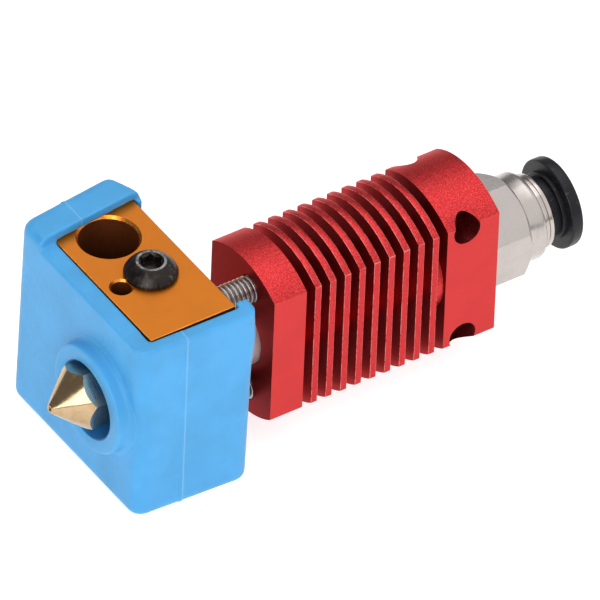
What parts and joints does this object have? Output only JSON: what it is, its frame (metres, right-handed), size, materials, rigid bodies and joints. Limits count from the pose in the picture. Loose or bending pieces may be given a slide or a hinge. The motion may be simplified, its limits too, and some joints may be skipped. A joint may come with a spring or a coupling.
{
  "type": "hotend assembly",
  "caption": "Bowden hotend for a desktop 3-D printer: brass nozzle and heater block in a silicone sock, finned heatsink and push-fit tube fitting.",
  "frame": {"origin": "on the heatsink's mounting flat, midway between its two screw holes", "axes": "+X along the filament axis from the nozzle to the fitting, -Y out of the mounting flat, +Z out of the heater block's drilled top face"},
  "size_m": [0.0601, 0.0242, 0.0236],
  "materials": {
    "nozzle_brass": "turned, polished",
    "block_orange": "orange anodised, fine bead blast",
    "heat_break_steel": "turned",
    "liner_ptfe": "waxy",
    "sock_silicone": "moulded matt silicone",
    "screw_black": "black oxide",
    "stud_steel": "threaded, satin",
    "heatsink_red": "red anodised, bead blasted",
    "fitting_nickel": "nickel plate",
    "seal_rubber": "matt",
    "claw_steel": "stamped",
    "collar_black": "moulded satin"
  },
  "bodies": {
    "hotend": {"nozzle": "nozzle_brass", "heater_block": "block_orange", "heat_break": "heat_break_steel", "ptfe_liner": "liner_ptfe", "silicone_sock": "sock_silicone", "thermistor_clamp_screw": "screw_black", "heater_set_screw": "screw_black", "spacer_stud_upper": "stud_steel", "spacer_stud_lower": "stud_steel", "heatsink": "heatsink_red", "fitting_body": "fitting_nickel", "fitting_bush": "fitting_nickel", "tube_seal": "seal_rubber", "seal_backup_ring": "collar_black"},
    "release_sleeve": {"release_collar": "collar_black", "grip_claw": "claw_steel"}
  },
  "joints": [
    {"name": "release_slide", "type": "slide", "parent": "hotend", "child": "release_sleeve", "axis": [-1, 0, 0], "range_m": [0, 0.001], "stiffness_N_per_m": 500, "springref_m": -0.0004}
  ]
}
